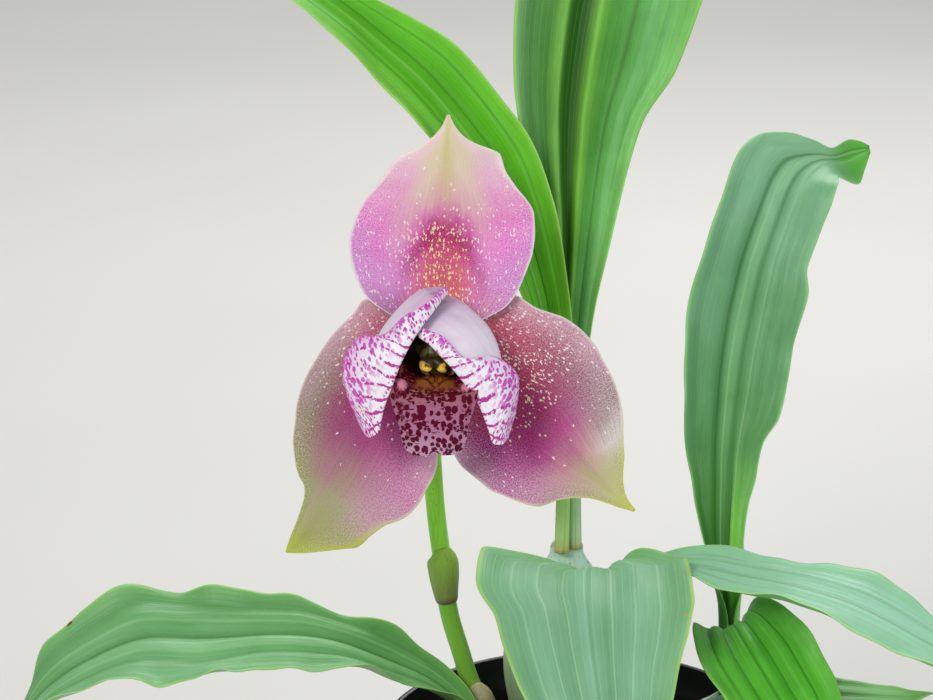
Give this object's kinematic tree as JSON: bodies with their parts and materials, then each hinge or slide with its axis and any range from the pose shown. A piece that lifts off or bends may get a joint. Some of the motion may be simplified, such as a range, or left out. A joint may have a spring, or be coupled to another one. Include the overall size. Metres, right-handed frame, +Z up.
{
  "type": "potted lycaste orchid",
  "caption": "Flowering lycaste orchid in a round nursery pot: broad pleated leaves on ribbed pseudobulbs, and one bloom with a spotted lip on an upright stalk.",
  "frame": {"origin": "centre of the pot's flat base", "axes": "+Z up out of the pot, +X to the right and -Y towards the side that the flower faces"},
  "size_m": [0.3115, 0.1962, 0.4029],
  "materials": {
    "pot_plastic": "satin black",
    "bark": "rough bark chips with perlite",
    "bulb_skin": "smooth, faintly ribbed",
    "leaf": "satin, veined",
    "stalk": "satin",
    "column": "waxy, streaked",
    "anther": "waxy",
    "sepal": "waxy, stippled",
    "petal": "waxy, spotted",
    "lip": "waxy, spotted"
  },
  "bodies": {
    "root": {"pot": "pot_plastic", "bark_mix": "bark", "rhizome": "bulb_skin", "bulb_rear": "bulb_skin", "bulb_front": "bulb_skin", "bulb_right": "bulb_skin", "back_bulb": "bulb_skin", "leaf_arching_left": "leaf", "leaf_upright": "leaf", "leaf_back_right": "leaf", "leaf_right": "leaf", "leaf_front": "leaf", "leaf_left": "leaf", "leaf_small_right": "leaf", "leaf_low_right": "leaf", "scape": "stalk", "scape_bract": "stalk", "scape_base_bract": "stalk", "floral_bract": "stalk", "ovary": "stalk", "column": "column", "anther_cap": "anther", "dorsal_sepal": "sepal", "lateral_sepal_left": "sepal", "lateral_sepal_right": "sepal", "lip": "lip", "petal_right": "petal", "petal_left": "petal"}
  },
  "joints": []
}
